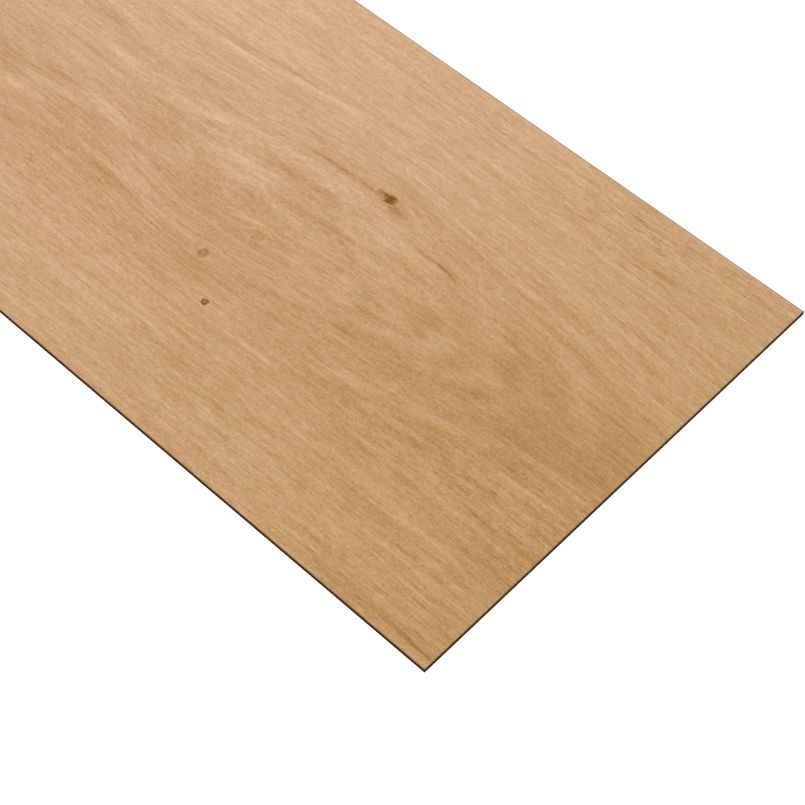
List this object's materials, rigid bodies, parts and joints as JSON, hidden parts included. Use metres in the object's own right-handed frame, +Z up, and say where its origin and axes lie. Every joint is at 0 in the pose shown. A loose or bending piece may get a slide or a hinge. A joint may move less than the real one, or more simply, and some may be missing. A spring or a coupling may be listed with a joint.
{
  "type": "luxury vinyl plank",
  "caption": "Thin rectangular vinyl floor plank with a printed oak face, square cut sides with a soft upper arris, and a flat back for gluing down.",
  "frame": {"origin": "middle of the plank's flat back, which lies on the floor", "axes": "+X along the length, towards the end that the picture shows; +Y across the width; +Z up, out of the printed wear face"},
  "size_m": [1.2192, 0.2032, 0.002],
  "materials": {
    "printed_vinyl": "matte"
  },
  "bodies": {
    "root": {"vinyl_plank": "printed_vinyl"}
  },
  "joints": []
}
